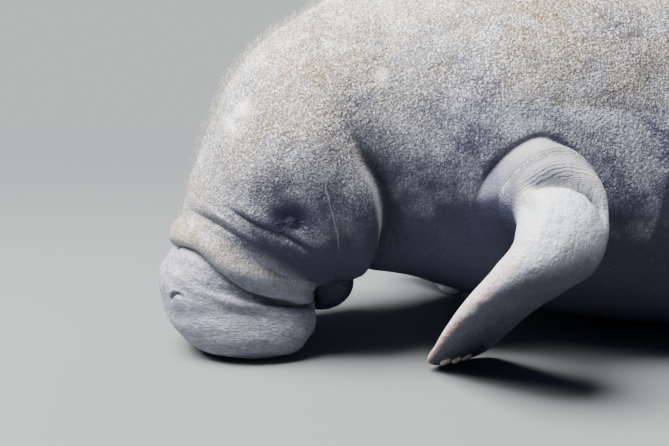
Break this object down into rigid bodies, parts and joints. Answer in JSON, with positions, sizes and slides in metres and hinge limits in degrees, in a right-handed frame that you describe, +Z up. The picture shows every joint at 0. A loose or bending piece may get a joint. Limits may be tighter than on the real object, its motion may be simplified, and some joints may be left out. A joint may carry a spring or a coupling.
{
  "type": "manatee figure",
  "caption": "Life-size Florida manatee resting on its belly, head bent down to feed, flippers planted and paddle tail flat.",
  "frame": {"origin": "on the ground, at the middle of the flat that the belly rests on, in the mid-plane of the body", "axes": "+Z up, -X towards the nose, -Y towards the animal's left side"},
  "size_m": [2.812, 0.7294, 0.616],
  "materials": {
    "hide": "thick wrinkled grey skin, matt, finely speckled with algae",
    "pale_hide": "smoother pale grey skin of the muzzle and flippers",
    "eyeball": "wet, glossy, nearly black",
    "nail": "dull horn",
    "bristle": "fine pale hair"
  },
  "bodies": {
    "root": {"muzzle": "pale_hide", "head": "hide", "lower_jaw": "hide", "neck": "hide", "chest": "hide", "belly": "hide", "loins": "hide", "tail_stock": "hide", "tail_paddle": "hide", "upper_arm_left": "hide", "flipper_left": "pale_hide", "upper_arm_right": "hide", "flipper_right": "pale_hide", "eye_left": "eyeball", "eye_right": "eyeball"}
  },
  "joints": []
}
